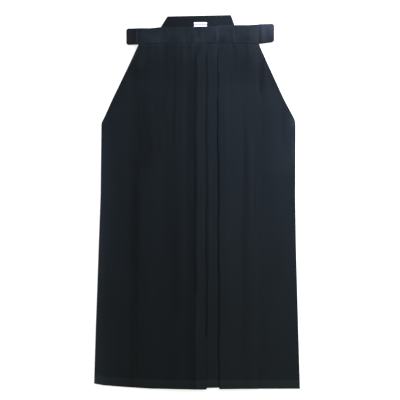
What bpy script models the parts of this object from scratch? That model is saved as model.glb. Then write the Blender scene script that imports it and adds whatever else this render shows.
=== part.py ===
"""Hakama trousers for kendo, size 24, laid flat with the front upwards.

The garment lies in the XY plane with its hem towards -Y, its back board towards +Y and +Z up.
Every layer of cloth lies on the layers beneath it. STACK lists the layers from the floor up, and the height
of a layer anywhere is the sum of the layers under it there. Past its edges a layer's cover fades out
softly, as heavy cloth settles over a step. All layers share the same columns, the lines down the
garment that the pleats' folds run along, so that no layer dips through another between them.
"""

from collections import namedtuple

import bmesh
import bpy
from mathutils import Vector

# Driving sizes, in metres.
TOTAL_LENGTH = 0.9420  # hem to the top of the back board
FRONT_LENGTH = 0.9125  # hem to the top of the front waistband: size 24
CLOTH = 0.0010  # one ply of the trouser cloth
TIE_CLOTH = 0.0015  # a tie or the waistband, which is cloth folded double
BOARD_THICK = 0.0040  # the stiff back board in its cover
BOARD_BEVEL = 0.0012
LABEL_THICK = 0.0006
SEAM_GAP = 0.0003  # between pieces that are sewn together
LAYER_GAP = 0.0005  # between layers that lie on each other
CORNER_MITRE = 0.5  # the least cosine used where a wall turns a sharp corner

# Heights up the garment.
HEM_Y = -TOTAL_LENGTH / 2
BOARD_TOP_Y = TOTAL_LENGTH / 2
BAND_BOTTOM_Y = HEM_Y + FRONT_LENGTH - 0.0420
WAIST_Y = BAND_BOTTOM_Y - 0.0040  # above this all lines run straight up
PANEL_TOP_Y = BAND_BOTTOM_Y + 0.0100  # the pleats' sewn tops, inside the waistband
BACK_TOP_Y = WAIST_Y  # where the back panels meet the back board
OPENING_BOTTOM_Y = 0.2000  # where the side openings end and the side seams start
CROTCH_TOP_Y, CROTCH_BOTTOM_Y = -0.1070, -0.2150
CENTRE_X = 0.0040  # the centre seams of front and back

# How softly a layer settles over the edges of what lies under it: the higher the step, the further.
SOFT_SIDE = 0.0200
SOFT_SIDE_PER_STEP = 6.0
SPREAD = 0.0040  # the cover starts to fade this far outside an edge
SOFT_BELOW_BAND = 0.0700
SOFT_ABOVE_PANELS = 0.0180
SOFT_CROTCH = 0.0800

# The side edges of the front, as it lies.
Section = namedtuple("Section", "y left right")
OUTLINE = (
    Section(WAIST_Y, -0.1486, 0.1570),
    Section(0.2566, -0.2142, 0.2196),
    Section(0.2113, -0.2360, 0.2430),
    Section(OPENING_BOTTOM_Y, -0.2422, 0.2468),
    Section(0.0190, -0.2437, 0.2466),
    Section(-0.1070, -0.2484, 0.2484),
    Section(-0.3220, -0.2558, 0.2542),
    Section(HEM_Y, -0.2600, 0.2585),
)
# The back's sides lie inside the front's, and run up to the back board's corners.
BACK_INSET = CLOTH + 2 * SEAM_GAP
BACK_OUTLINE = (Section(BACK_TOP_Y, -0.1180, 0.1105), *OUTLINE[3:])

# The lines down the garment, from left to right: where each lies at the waistband and at the hem.
FoldLine = namedtuple("FoldLine", "name waist_x hem_x")
FOLD_LINES = (
    FoldLine("outer_left", -0.1460, -0.1541),
    FoldLine("outer_left_hidden", -0.1145, -0.1180),
    FoldLine("inner_left_hidden", -0.0590, -0.0640),
    FoldLine("inner_left_soft", -0.0300, -0.0340),
    FoldLine("inner_left", -0.0044, -0.0067),
    FoldLine("seam", CENTRE_X, CENTRE_X),
    FoldLine("centre", 0.0231, 0.0236),
    FoldLine("inner_right", 0.0513, 0.0540),
    FoldLine("inner_right_hidden", 0.0880, 0.0930),
    FoldLine("outer_right_hidden", 0.1220, 0.1160),
    FoldLine("outer_right", 0.1540, 0.1510),
)
LINE_NAMES = ["side_left", *(line.name for line in FOLD_LINES), "side_right"]

# Edges that lie beside a line: the sewn edges at the centre seams and the folds of the back pleats.
EdgeBeside = namedtuple("EdgeBeside", "line offset")
EDGES_BESIDE = {
    "seam_left": EdgeBeside("seam", -SEAM_GAP / 2),
    "seam_right": EdgeBeside("seam", SEAM_GAP / 2),
    "back_fold_left": EdgeBeside("seam", -0.0010),
    "back_fold_right": EdgeBeside("seam", 0.0010),
}

# How far the hem rises towards the left side, across the width.
HemPoint = namedtuple("HemPoint", "x rise")
HEM_RISE = (
    HemPoint(-0.2585, 0.0146),
    HemPoint(-0.2370, 0.0104),
    HemPoint(-0.1820, 0.0060),
    HemPoint(-0.1140, 0.0022),
    HemPoint(0.0100, 0.0000),
    HemPoint(0.0600, 0.0013),
    HemPoint(0.2580, 0.0018),
)
HEM_RISE_FROM_Y = -0.1500  # above this the panels hang straight
HEM_BEND_Y = -0.4000  # below this a pleat that is cut shorter draws up

# The back board: a trapezoid, narrow at the top.
BOARD = (
    Section(BACK_TOP_Y + SEAM_GAP, -0.1195, 0.1110),
    Section(0.4676, -0.0743, 0.0841),
    Section(BOARD_TOP_Y, -0.0743, 0.0827),
)
LABEL = Section(0.4280, -0.0084, 0.0240)
LABEL_HEIGHT = 0.0243

# The waistband's lower and upper edges, along its length.
BandPoint = namedtuple("BandPoint", "x low high")
BAND = (
    BandPoint(-0.1480, 0.3970, 0.4375),
    BandPoint(-0.1190, 0.3980, 0.4370),
    BandPoint(-0.0930, 0.3990, 0.4400),
    BandPoint(CENTRE_X, 0.4000, 0.4415),
    BandPoint(0.0950, 0.3990, 0.4440),
    BandPoint(0.1250, 0.3985, 0.4445),
    BandPoint(0.1560, 0.3980, 0.4475),
)

# The front ties leave the waistband's ends, are folded under, and run back behind it. The back ties leave
# the back board's lower corners, are folded over, and lie on the board.
Tie = namedtuple("Tie", "root_x fold_x hidden_line low high slope_low slope_high")
FRONT_TIES = {
    "left": Tie(BAND[0].x - SEAM_GAP, -0.1785, "inner_left_soft", 0.3957, 0.4370, 0.0, 0.0),
    "right": Tie(BAND[-1].x + SEAM_GAP, 0.1930, "inner_right", 0.3984, 0.4450, 0.13, 0.11),
}
BACK_TIES = {
    "left": Tie(None, -0.1340, "inner_left_hidden", 0.3995, 0.4350, 0.0, 0.0),
    "right": Tie(None, 0.1360, "inner_right_hidden", 0.3995, 0.4350, 0.0, 0.0),
}
TIE_CORNER = 0.0035  # how far a tie's folded corners are rounded off

# Rows down the garment, close together where the cloth comes down off the board.
BAND_ROWS = (0.4460, PANEL_TOP_Y + SOFT_ABOVE_PANELS, 0.4215, 0.4155)
WAIST_ROWS = (PANEL_TOP_Y, 0.4030, BACK_TOP_Y, 0.3820, 0.3700, 0.3540, 0.3300)
SEAM_ROWS = (0.2566, 0.2113, OPENING_BOTTOM_Y, 0.0190)
LOW_ROWS = (CROTCH_TOP_Y, CROTCH_BOTTOM_Y, -0.3220, HEM_BEND_Y, HEM_Y)
FRONT_ROWS = (*WAIST_ROWS, *SEAM_ROWS, *LOW_ROWS)
BACK_ROWS = (BACK_TOP_Y, *SEAM_ROWS, *LOW_ROWS)
ALL_ROWS = (*BAND_ROWS, *FRONT_ROWS)
INNER_ROWS = (*WAIST_ROWS[1::-1], *BAND_ROWS[:0:-1])  # up the inside of the waistband and the ties

NAVY = (0.0085, 0.0110, 0.0160)
WHITE = (0.72, 0.74, 0.80)


def ease(t):
    """Goes smoothly from 0 at t = 0 to 1 at t = 1."""
    t = min(max(t, 0.0), 1.0)
    return t * t * (3 - 2 * t)


def read(table, at, key, column):
    """Reads one column of a table at a place in another, in straight lines between its rows."""
    rows = sorted((getattr(row, key), getattr(row, column)) for row in table)
    if at <= rows[0][0]:
        return rows[0][1]
    for (a, value_a), (b, value_b) in zip(rows, rows[1:]):
        if at <= b:
            return value_a + (value_b - value_a) * (at - a) / (b - a)
    return rows[-1][1]


def line_x(name, y):
    """Where a line down the garment lies at height y."""
    if name == "side_left":
        return read(OUTLINE, y, "y", "left")
    if name == "side_right":
        return read(OUTLINE, y, "y", "right")
    line = FOLD_LINES[LINE_NAMES.index(name) - 1]
    down = min(max((WAIST_Y - y) / (WAIST_Y - HEM_Y), 0.0), 1.0)
    return line.waist_x + (line.hem_x - line.waist_x) * down


def columns(y):
    """All columns at height y: the lines, and one half way between each two."""
    lines = [line_x(name, y) for name in LINE_NAMES]
    between = [(a + b) / 2 for a, b in zip(lines, lines[1:])]
    return [x for pair in zip(lines, between) for x in pair] + [lines[-1]]


def column_number(edge):
    """The column that an edge lies on or beside."""
    if edge in EDGES_BESIDE:
        edge = EDGES_BESIDE[edge].line
    return 2 * LINE_NAMES.index(edge.replace("back_side", "side"))


def edge_x(edge, y):
    """Where an edge of a layer lies at height y: a number, a line, or an edge beside one."""
    if isinstance(edge, float):
        return edge
    if edge in EDGES_BESIDE:
        return line_x(EDGES_BESIDE[edge].line, y) + EDGES_BESIDE[edge].offset
    if edge.startswith("back_side_"):
        side = edge.removeprefix("back_side_")
        return read(BACK_OUTLINE, y, "y", side) + (BACK_INSET if side == "left" else -BACK_INSET)
    if edge.startswith("board_"):
        return read(BOARD, y, "y", edge.removeprefix("board_"))
    return line_x(edge, y)


# A layer: its side edges, where its cover ends along Y, its thickness with the gap over it, and how far it
# fades past its lower and upper ends.
Layer = namedtuple("Layer", "name left right low high pitch soft_low soft_high")
PLY = CLOTH + LAYER_GAP
TIE_PLY = TIE_CLOTH + LAYER_GAP
BELOW_HEM = HEM_Y - 0.1
ABOVE_ALL = BOARD_TOP_Y + 0.1


def panel_layer(name, left, right, top=PANEL_TOP_Y):
    return Layer(name, left, right, BELOW_HEM, top, PLY, 0.01, SOFT_ABOVE_PANELS)


def gusset_layer(name, left, right):
    return Layer(name, left, right, CROTCH_BOTTOM_Y, CROTCH_TOP_Y, PLY, SOFT_CROTCH, SOFT_CROTCH)


def waist_layer(name, left, right, low, pitch):
    return Layer(name, left, right, low, ABOVE_ALL, pitch, SOFT_BELOW_BAND, 0.01)


def tie_layer(name, tie, inner):
    left, right = (tie.fold_x, inner) if tie.fold_x < 0 else (inner, tie.fold_x)
    return waist_layer(name, left, right, tie.low, TIE_PLY)


STACK = (
    panel_layer("back_outside", "side_left", "side_right", BACK_TOP_Y),
    tie_layer("back_tie_left_0", BACK_TIES["left"], BOARD[0].left),
    tie_layer("back_tie_right_0", BACK_TIES["right"], BOARD[0].right),
    panel_layer("back_underfold", "outer_left_hidden", "outer_right_hidden", BACK_TOP_Y),
    panel_layer("back_inside", "outer_left_hidden", "outer_right_hidden", BACK_TOP_Y),
    gusset_layer("gusset", "inner_left_soft", "inner_right"),
    waist_layer("board", BOARD[0].left, BOARD[0].right, BOARD[0].y, BOARD_THICK + LAYER_GAP),
    waist_layer("label", LABEL.left, LABEL.right, LABEL.y, LABEL_THICK + LAYER_GAP),
    tie_layer("back_tie_left_1", BACK_TIES["left"], BACK_TIES["left"].hidden_line),
    tie_layer("back_tie_right_1", BACK_TIES["right"], BACK_TIES["right"].hidden_line),
    tie_layer("front_tie_left_0", FRONT_TIES["left"], FRONT_TIES["left"].hidden_line),
    tie_layer("front_tie_right_0", FRONT_TIES["right"], FRONT_TIES["right"].hidden_line),
    waist_layer("band_back", BAND[0].x, BAND[-1].x, BAND[0].low, TIE_PLY),
    panel_layer("front_right_0", "seam_right", "inner_right_hidden"),
    panel_layer("front_right_4", "outer_right_hidden", "side_right"),
    panel_layer("front_left_0", "side_left", "outer_left_hidden"),
    panel_layer("front_left_5", "seam_left", "centre"),
    panel_layer("front_left_1", "outer_left", "outer_left_hidden"),
    panel_layer("front_left_4", "inner_left_hidden", "centre"),
    panel_layer("front_right_1", "inner_right", "inner_right_hidden"),
    panel_layer("front_right_3", "outer_right_hidden", "outer_right"),
    panel_layer("front_left_3", "inner_left_hidden", "inner_left"),
    panel_layer("front_left_2", "outer_left", "inner_left"),
    panel_layer("front_right_2", "inner_right", "outer_right"),
)
ORDER = {layer.name: place for place, layer in enumerate(STACK)}
ON_TOP = len(STACK)


def cover(layer, x, y):
    """How much of a layer lies under (x, y): 1 inside its edges, fading to 0 outside them."""
    left, right = edge_x(layer.left, y), edge_x(layer.right, y)
    past_side = max(left - x - SPREAD, x - right - SPREAD, 0.0)
    past_end = max((layer.low - y) / layer.soft_low, (y - layer.high) / layer.soft_high, 0.0)
    soft_side = SOFT_SIDE + SOFT_SIDE_PER_STEP * layer.pitch
    return ease(1 - past_side / soft_side) * ease(1 - past_end)


def pile(place, x, y):
    return sum(layer.pitch * cover(layer, x, y) for layer in STACK[:place])


def share_between(values, at):
    """The last of some rising values that isn't past a place, by number, and the share of the way on."""
    number = min(max(sum(value <= at for value in values) - 1, 0), len(values) - 2)
    a, b = values[number], values[number + 1]
    return number, min(max((at - a) / (b - a), 0.0), 1.0)


def height(place, x, y):
    """The height of a layer's underside, by its place in the stack: straight between columns and rows."""
    rising = ALL_ROWS[::-1]
    row, up = share_between(rising, y)
    column, across = share_between(columns(y), x)
    ends = []
    for row_y in rising[row : row + 2]:
        lines = columns(row_y)
        if columns(y)[0] <= x <= columns(y)[-1]:
            left, right = pile(place, lines[column], row_y), pile(place, lines[column + 1], row_y)
            ends.append(left + (right - left) * across)
        else:
            ends.append(pile(place, x, row_y))
    return ends[0] + (ends[1] - ends[0]) * up


# A panel is one cloth folded to and fro: its runs in order along the cloth, and how much higher than the
# garment's hem each run's hem is.
Run = namedtuple("Run", "layer starts ends shorter")
PANELS = {
    "back_left": (
        Run("back_outside", "back_side_left", "back_fold_left", 0.0030),
        Run("back_underfold", "back_fold_left", "outer_left_hidden", 0.0040),
        Run("back_inside", "outer_left_hidden", "seam_left", 0.0050),
    ),
    "back_right": (
        Run("back_outside", "back_side_right", "back_fold_right", 0.0030),
        Run("back_underfold", "back_fold_right", "outer_right_hidden", 0.0040),
        Run("back_inside", "outer_right_hidden", "seam_right", 0.0050),
    ),
    "front_left": (
        Run("front_left_0", "side_left", "outer_left_hidden", 0.0),
        Run("front_left_1", "outer_left_hidden", "outer_left", 0.0),
        Run("front_left_2", "outer_left", "inner_left", 0.0),
        Run("front_left_3", "inner_left", "inner_left_hidden", 0.0010),
        Run("front_left_4", "inner_left_hidden", "centre", 0.0),
        Run("front_left_5", "centre", "seam_left", 0.0030),
    ),
    "front_right": (
        Run("front_right_4", "side_right", "outer_right_hidden", 0.0),
        Run("front_right_3", "outer_right_hidden", "outer_right", 0.0),
        Run("front_right_2", "outer_right", "inner_right", 0.0),
        Run("front_right_1", "inner_right", "inner_right_hidden", 0.0020),
        Run("front_right_0", "inner_right_hidden", "seam_right", 0.0043),
    ),
}
FOLD_INSET = CLOTH + LAYER_GAP / 2  # a run stops short of its fold by this
GATHER = 0.0008  # the least space between columns that are gathered inside a side edge


def at_hem(x, y, shorter):
    """Moves a point up with the curved hem, the more the nearer it is to the hem."""
    rise = read(HEM_RISE, x, "x", "rise")
    return y + rise * ease((HEM_RISE_FROM_Y - y) / (HEM_RISE_FROM_Y - HEM_Y)) + shorter * (y == HEM_Y)


def run_points(run, y, folds_at_start, folds_at_end):
    """The middle line of one run of a panel at height y, from just past one fold to just before the next."""
    start, end = edge_x(run.starts, y), edge_x(run.ends, y)
    way = 1 if end > start else -1
    first, last = column_number(run.starts), column_number(run.ends)
    xs = [start + way * FOLD_INSET * folds_at_start]
    for column in columns(y)[first + 1 : last] if way > 0 else columns(y)[last + 1 : first][::-1]:
        xs.append(way * max(way * column, way * xs[-1] + GATHER))
    xs.append(end - way * FOLD_INSET * folds_at_end)
    place = ORDER[run.layer]
    return [Vector((x, at_hem(x, y, run.shorter), height(place, x, y) + CLOTH / 2)) for x in xs]


def panel_line(runs, y):
    """The middle line of a whole panel at height y, with one point at the turn of each fold."""
    line = []
    for number, run in enumerate(runs):
        points = run_points(run, y, number > 0, number < len(runs) - 1)
        if line:
            turn = (line[-1] + points[0]) / 2
            fold = edge_x(run.starts, y)
            turn.x = fold + (CLOTH / 2 if fold < turn.x else -CLOTH / 2)
            line.append(turn)
        line += points
    return line


def turn_side_down(line, y):
    """Below the side opening, the front's edge turns down to the floor, and the back is sewn to it."""
    inward = 1 if line[0].x < 0 else -1
    edge = line[0]
    edge.x += inward * CLOTH / 2
    shoulder = edge.copy()
    if y <= OPENING_BOTTOM_Y:
        edge.z = CLOTH / 2
    else:
        shoulder.x += inward * SEAM_GAP
    line.insert(1, shoulder)


def add_quad(mesh, corners):
    """Two triangles, parted on the diagonal that runs down to the right, as in every other layer."""
    a, b, c, d = corners
    one_way = (c.co.x - a.co.x) * (c.co.y - a.co.y)
    other_way = (d.co.x - b.co.x) * (d.co.y - b.co.y)
    for triangle in ((a, b, c), (a, c, d)) if one_way < other_way else ((a, b, d), (b, c, d)):
        mesh.faces.new(triangle)


def cut_end(side):
    """A wall's free end is cut upright where the wall lies, and square to it where the wall stands."""
    return Vector((0, 0, 1 if side.z > 0 else -1)) if abs(side.z) > CORNER_MITRE else side


def wall(name, lines, thick, across, material):
    """A closed wall of cloth round its middle lines, each in the plane that across is normal to."""
    above, below = [], []
    for line in lines:
        sides = [(b - a).cross(across).normalized() for a, b in zip(line, line[1:])]
        middles = [(before + after).normalized() for before, after in zip(sides, sides[1:])]
        middles = [cut_end(sides[0]), *middles, cut_end(sides[-1])]
        offsets = [
            middle * (thick / 2) / max(middle.dot(side), CORNER_MITRE)
            for middle, side in zip(middles, [*sides, sides[-1]])
        ]
        above.append([point + offset for point, offset in zip(line, offsets)])
        below.append([point - offset for point, offset in zip(line, offsets)])
    mesh = bmesh.new()
    top = [[mesh.verts.new(point) for point in line] for line in above]
    bottom = [[mesh.verts.new(point) for point in line] for line in below]
    rings = [row + bottom_row[::-1] for row, bottom_row in zip(top, bottom)]
    for ring, following in zip(rings, rings[1:]):
        for i in range(len(ring)):
            j = (i + 1) % len(ring)
            add_quad(mesh, (ring[i], ring[j], following[j], following[i]))
    for row, bottom_row in ((top[0], bottom[0]), (top[-1], bottom[-1])):
        for i in range(len(row) - 1):
            add_quad(mesh, (row[i], row[i + 1], bottom_row[i + 1], bottom_row[i]))
    bmesh.ops.recalc_face_normals(mesh, faces=mesh.faces)
    if mesh.calc_volume(signed=True) < 0:
        bmesh.ops.reverse_faces(mesh, faces=mesh.faces)
    return add_piece(name, mesh, material)


def add_piece(name, mesh, material):
    data = bpy.data.meshes.new(name)
    mesh.to_mesh(data)
    mesh.free()
    data.materials.append(material)
    data.shade_smooth()
    data.set_sharp_from_angle(angle=0.6)
    piece = bpy.data.objects.new(name, data)
    bpy.context.scene.collection.objects.link(piece)
    return piece


def cloth_material(name, colour, roughness):
    material = bpy.data.materials.new(name)
    material.use_nodes = True
    shader = material.node_tree.nodes["Principled BSDF"]
    shader.inputs["Base Color"].default_value = (*colour, 1.0)
    shader.inputs["Roughness"].default_value = roughness
    shader.inputs["Metallic"].default_value = 0.0
    return material


def add_panel(name, rows, material):
    lines = [panel_line(PANELS[name], y) for y in rows]
    if name.startswith("front"):
        for line, y in zip(lines, rows):
            turn_side_down(line, y)
    return wall(name, lines, CLOTH, Vector((0, 1, 0)), material)


def add_gusset(material):
    """The crotch gusset, which lies flat between the legs."""
    layer = STACK[ORDER["gusset"]]
    lines = []
    for y in (layer.high, layer.low):
        xs = columns(y)[column_number(layer.left) : column_number(layer.right) + 1]
        lines.append([Vector((x, y, height(ORDER["gusset"], x, y) + CLOTH / 2)) for x in xs])
    return wall("crotch_gusset", lines, CLOTH, Vector((0, 1, 0)), material)


def add_waistband(material):
    """The front waistband: a strip folded over the tops of the pleats, open downwards."""
    inner = columns(WAIST_Y)[2:-2]
    lines = []
    for x in (BAND[0].x, *inner, BAND[-1].x):
        low, high = read(BAND, x, "x", "low"), read(BAND, x, "x", "high")
        steps = [low, *INNER_ROWS, high - TIE_CLOTH]
        back = [Vector((x, y, height(ORDER["band_back"], x, y) + TIE_CLOTH / 2)) for y in steps]
        front = [Vector((x, y, height(ON_TOP, x, y) + TIE_CLOTH / 2)) for y in steps[::-1]]
        crest = Vector((x, high - TIE_CLOTH / 2, (back[-1].z + front[0].z) / 2))
        lines.append([*back, crest, *front])
    return wall("front_waistband", lines, TIE_CLOTH, Vector((1, 0, 0)), material)


def tie_run(tie, place, xs, y):
    """One run of a tie. Outside the waistband a sloping tie rises away from it."""
    slope = tie.slope_low + (tie.slope_high - tie.slope_low) * (y - tie.low) / (tie.high - tie.low)
    points = []
    for x in xs:
        out = max(abs(x) - abs(tie.root_x), 0.0) if tie.root_x else 0.0
        points.append(Vector((x, y + slope * out, height(place, x, y) + TIE_CLOTH / 2)))
    return points


def add_tie(name, tie, near_place, near_xs, hidden_place, material):
    """A tie folded double: the near run out to the fold, and the hidden run back to its end."""
    outward = 1 if tie.fold_x > 0 else -1
    number = column_number(tie.hidden_line)
    inner = columns(WAIST_Y)[: number + 1] if outward < 0 else columns(WAIST_Y)[number:][::-1]
    lines = []
    for y in (tie.low, *INNER_ROWS, tie.high):
        fold_x = tie.fold_x - outward * TIE_CORNER * (y in (tie.low, tie.high))
        turn_x = fold_x - outward * (TIE_CLOTH + LAYER_GAP / 2)
        near = tie_run(tie, near_place, near_xs(y, turn_x), y)
        out = [point.x for point in near if abs(point.x) > abs(inner[0])][::-1]
        under = out or [turn_x]
        inside = [x for x in inner if abs(x) < abs(tie.fold_x) - 2 * TIE_CORNER]
        hidden = tie_run(tie, hidden_place, [*under, *inside], y)
        crest = (near[-1] + hidden[0]) / 2
        crest.x = fold_x - outward * TIE_CLOTH / 2
        lines.append([*near, crest, *hidden])
    return wall(name, lines, TIE_CLOTH, Vector((0, 1, 0)), material)


def add_front_tie(side, material):
    tie = FRONT_TIES[side]

    def near_xs(y, turn_x):
        return [tie.root_x + (turn_x - tie.root_x) * step / 4 for step in range(5)]

    return add_tie(f"front_tie_{side}", tie, ON_TOP, near_xs, ORDER[f"front_tie_{side}_0"], material)


def add_back_tie(side, material):
    tie = BACK_TIES[side]

    def near_xs(y, turn_x):
        outward = 1 if side == "right" else -1
        return [edge_x("board_" + side, y) + outward * SEAM_GAP, turn_x]

    return add_tie(f"back_tie_{side}", tie, 0, near_xs, ORDER[f"back_tie_{side}_1"], material)


def add_plate(name, corners, low, thick, bevel, material):
    """A flat plate with the given corners, anticlockwise from above, and rounded edges."""
    mesh = bmesh.new()
    base = mesh.faces.new([mesh.verts.new((x, y, low)) for x, y in corners])
    lifted = bmesh.ops.extrude_face_region(mesh, geom=[base])["geom"]
    top = [part for part in lifted if isinstance(part, bmesh.types.BMVert)]
    bmesh.ops.translate(mesh, verts=top, vec=(0, 0, thick))
    bmesh.ops.recalc_face_normals(mesh, faces=mesh.faces)
    if bevel:
        bmesh.ops.bevel(mesh, geom=mesh.edges[:], offset=bevel, segments=2, affect="EDGES", profile=0.5)
    return add_piece(name, mesh, material)


def add_back_board(material):
    base, shoulder, crown = BOARD
    corners = (
        (base.left, base.y),
        (base.right, base.y),
        (crown.right, crown.y),
        (shoulder.left, shoulder.y),
    )
    return add_plate("back_board", corners, 0.0, BOARD_THICK, BOARD_BEVEL, material)


def add_label(material):
    top_y = LABEL.y + LABEL_HEIGHT
    corners = ((LABEL.left, LABEL.y), (LABEL.right, LABEL.y), (LABEL.right, top_y), (LABEL.left, top_y))
    return add_plate("label", corners, BOARD_THICK + SEAM_GAP, LABEL_THICK, 0.0, material)


def main():
    for old in list(bpy.data.objects):
        bpy.data.objects.remove(old)
    trouser_cloth = cloth_material("trouser_cloth", NAVY, 0.85)
    band_cloth = cloth_material("band_cloth", NAVY, 0.80)
    label_cloth = cloth_material("label_cloth", WHITE, 0.60)
    for side in ("left", "right"):
        add_panel(f"back_{side}", BACK_ROWS, trouser_cloth)
        add_panel(f"front_{side}", FRONT_ROWS, trouser_cloth)
        add_back_tie(side, band_cloth)
        add_front_tie(side, band_cloth)
    add_gusset(trouser_cloth)
    add_back_board(band_cloth)
    add_label(label_cloth)
    add_waistband(band_cloth)


main()
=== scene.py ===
"""The finish of a pair of hakama trousers that lies flat, front upwards: cloth, folds, stitching, light.

The cloth is laid ply on ply, as it is folded by hand. LAYERS gives the plies from the floor up, and each
sheet is a grid that is laid along its pleats, over whatever lies under it. Creases then press it a little.
"""

import math
from collections import namedtuple

import bpy
import numpy as np
from mathutils import Matrix, Vector


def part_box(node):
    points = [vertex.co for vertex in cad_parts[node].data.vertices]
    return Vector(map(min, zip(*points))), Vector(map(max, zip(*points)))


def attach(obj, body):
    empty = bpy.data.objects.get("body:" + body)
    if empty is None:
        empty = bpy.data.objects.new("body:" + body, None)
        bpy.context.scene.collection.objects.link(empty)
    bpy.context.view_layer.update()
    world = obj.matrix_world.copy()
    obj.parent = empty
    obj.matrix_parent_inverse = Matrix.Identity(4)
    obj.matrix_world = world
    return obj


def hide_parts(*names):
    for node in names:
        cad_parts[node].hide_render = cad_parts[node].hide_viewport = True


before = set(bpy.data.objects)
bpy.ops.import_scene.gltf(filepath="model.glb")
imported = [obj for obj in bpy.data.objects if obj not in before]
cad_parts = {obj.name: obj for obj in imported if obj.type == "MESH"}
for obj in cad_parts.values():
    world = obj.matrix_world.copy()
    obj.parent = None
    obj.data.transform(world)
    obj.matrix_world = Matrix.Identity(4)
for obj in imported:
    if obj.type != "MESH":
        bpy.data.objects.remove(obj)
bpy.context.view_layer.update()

scene = bpy.context.scene


def table(kind, *rows):
    """Rows with named columns."""
    return tuple(kind(*row) for row in rows)


# ---- sizes, in metres

CLOTH = 0.001  # one ply of the trouser cloth, with its nap
SHEET = 0.0004  # one ply of the trouser cloth, pressed
TIE_CLOTH = 0.0015  # a tie or the waistband, folded double
BAND_SHEET = 0.0009  # the same, pressed
LAYER_GAP = 0.0005
SEAM_GAP = 0.0003
BOARD_THICK = 0.004
LABEL_THICK = 0.0006

MM = 0.001
SIDES = ("left", "right")
HEM_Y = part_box("front_left")[0][1]
BOARD_TOP_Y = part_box("back_board")[1][1]
WAIST_Y = 0.3955  # above this all lines run straight up
PANEL_TOP_Y = 0.4095  # the pleats' sewn tops, inside the waistband
OPENING_BOTTOM_Y = 0.2  # where the side openings end
CROTCH_TOP_Y, CROTCH_BOTTOM_Y = -0.107, -0.215
CENTRE_X = 0.004
BACK_SHORTER = 0.003  # how much higher the back's hem ends
BACK_FOLD = 0.001  # how far the back's folds stay from the centre

Section = namedtuple("Section", "y left right")
OUTLINE = table(
    Section, (WAIST_Y, -0.1479, 0.1556), (0.2566, -0.2152, 0.2196), (0.2113, -0.2354, 0.244),
    (OPENING_BOTTOM_Y, -0.2416, 0.2474), (0.019, -0.2437, 0.2466), (-0.107, -0.2484, 0.2484),
    (-0.322, -0.2558, 0.2542), (HEM_Y, -0.26, 0.2585),
)
BACK_INSET = CLOTH + 2 * SEAM_GAP
BACK_OUTLINE = (Section(WAIST_Y, -0.118, 0.1105), *OUTLINE[3:])

# The lines that the pleats' folds run along: where each lies at the waistband and at the hem.
FoldLine = namedtuple("FoldLine", "waist_x hem_x")
FOLD_LINES = {
    "outer_left": FoldLine(-0.146, -0.1541),
    "outer_left_hidden": FoldLine(-0.1145, -0.118),
    "inner_left_hidden": FoldLine(-0.059, -0.064),
    "inner_left_soft": FoldLine(-0.03, -0.034),
    "inner_left": FoldLine(-0.0044, -0.0067),
    "centre": FoldLine(0.0231, 0.0236),
    "inner_right": FoldLine(0.0513, 0.054),
    "inner_right_hidden": FoldLine(0.088, 0.093),
    "outer_right_hidden": FoldLine(0.122, 0.116),
    "outer_right": FoldLine(0.154, 0.151),
    **{
        name: FoldLine(CENTRE_X + beside, CENTRE_X + beside)
        for name, beside in (
            ("seam_left", -SEAM_GAP / 2),
            ("seam_right", SEAM_GAP / 2),
            ("back_fold_left", -BACK_FOLD),
            ("back_fold_right", BACK_FOLD),
        )
    },
}

HemPoint = namedtuple("HemPoint", "x rise")
HEM_RISE = table(
    HemPoint, (-0.2585, 0.0146), (-0.237, 0.0104), (-0.182, 0.006), (-0.114, 0.0022), (0.01, 0.0),
    (0.06, 0.0013), (0.258, 0.0018),
)
HEM_RISE_FROM_Y = -0.15
HEM_HEIGHT = 0.022  # the turned-up hem

BOARD = table(
    Section,
    (WAIST_Y + SEAM_GAP, -0.1195, 0.111),
    (0.4676, -0.0752, 0.0852),
    (BOARD_TOP_Y, -0.0752, 0.0845),
)
BOARD_CORNERS = (
    (BOARD[0].left, BOARD[0].y),
    (BOARD[1].left, BOARD[1].y),
    (BOARD[2].right, BOARD[2].y),
    (BOARD[0].right, BOARD[0].y),
)  # clockwise from the lower left
LABEL = Section(0.428, -0.0084, 0.024)
LABEL_HEIGHT = 0.0243
LABEL_CORNERS = (
    (LABEL.left, LABEL.y),
    (LABEL.left, LABEL.y + LABEL_HEIGHT),
    (LABEL.right, LABEL.y + LABEL_HEIGHT),
    (LABEL.right, LABEL.y),
)

BandPoint = namedtuple("BandPoint", "x low high")
BAND = table(
    BandPoint, (-0.148, 0.397, 0.4375), (-0.119, 0.398, 0.437), (-0.093, 0.399, 0.44),
    (CENTRE_X, 0.4, 0.4415), (0.095, 0.399, 0.444), (0.125, 0.3985, 0.4445), (0.156, 0.398, 0.4475),
)

Tie = namedtuple("Tie", "root_x fold_x hidden_x low high slope_low slope_high")
FRONT_TIES = {
    "left": Tie(BAND[0].x - SEAM_GAP, -0.1789, -0.03, 0.3957, 0.437, 0.0, 0.0),
    "right": Tie(BAND[-1].x + SEAM_GAP, 0.1936, 0.0513, 0.3977, 0.445, 0.14, 0.04),
}
BACK_TIES = {
    "left": Tie(None, -0.134, -0.059, 0.3995, 0.435, 0.0, 0.0),
    "right": Tie(None, 0.136, 0.088, 0.3995, 0.435, 0.0, 0.0),
}
TIE_CORNER = 0.0055
TIE_FLARE, TIE_FLARE_OUT = 0.0025, 0.03  # how much wider a sloping tie gets, and how far out
TIE_TUCK = 0.002  # how far a front tie reaches into the waistband's end

# How softly a ply settles over an edge under it: the higher the step, the further.
SOFT_SIDE = 0.02
SOFT_SIDE_PER_STEP = 6.0
SPREAD = 0.004
SOFT_BELOW_BAND = 0.11
SOFT_ABOVE_PANELS = 0.018
SOFT_CROTCH = 0.08

# ---- the plies, from the floor up


def ease(t):
    t = np.clip(t, 0.0, 1.0)
    return t * t * (3 - 2 * t)


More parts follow.
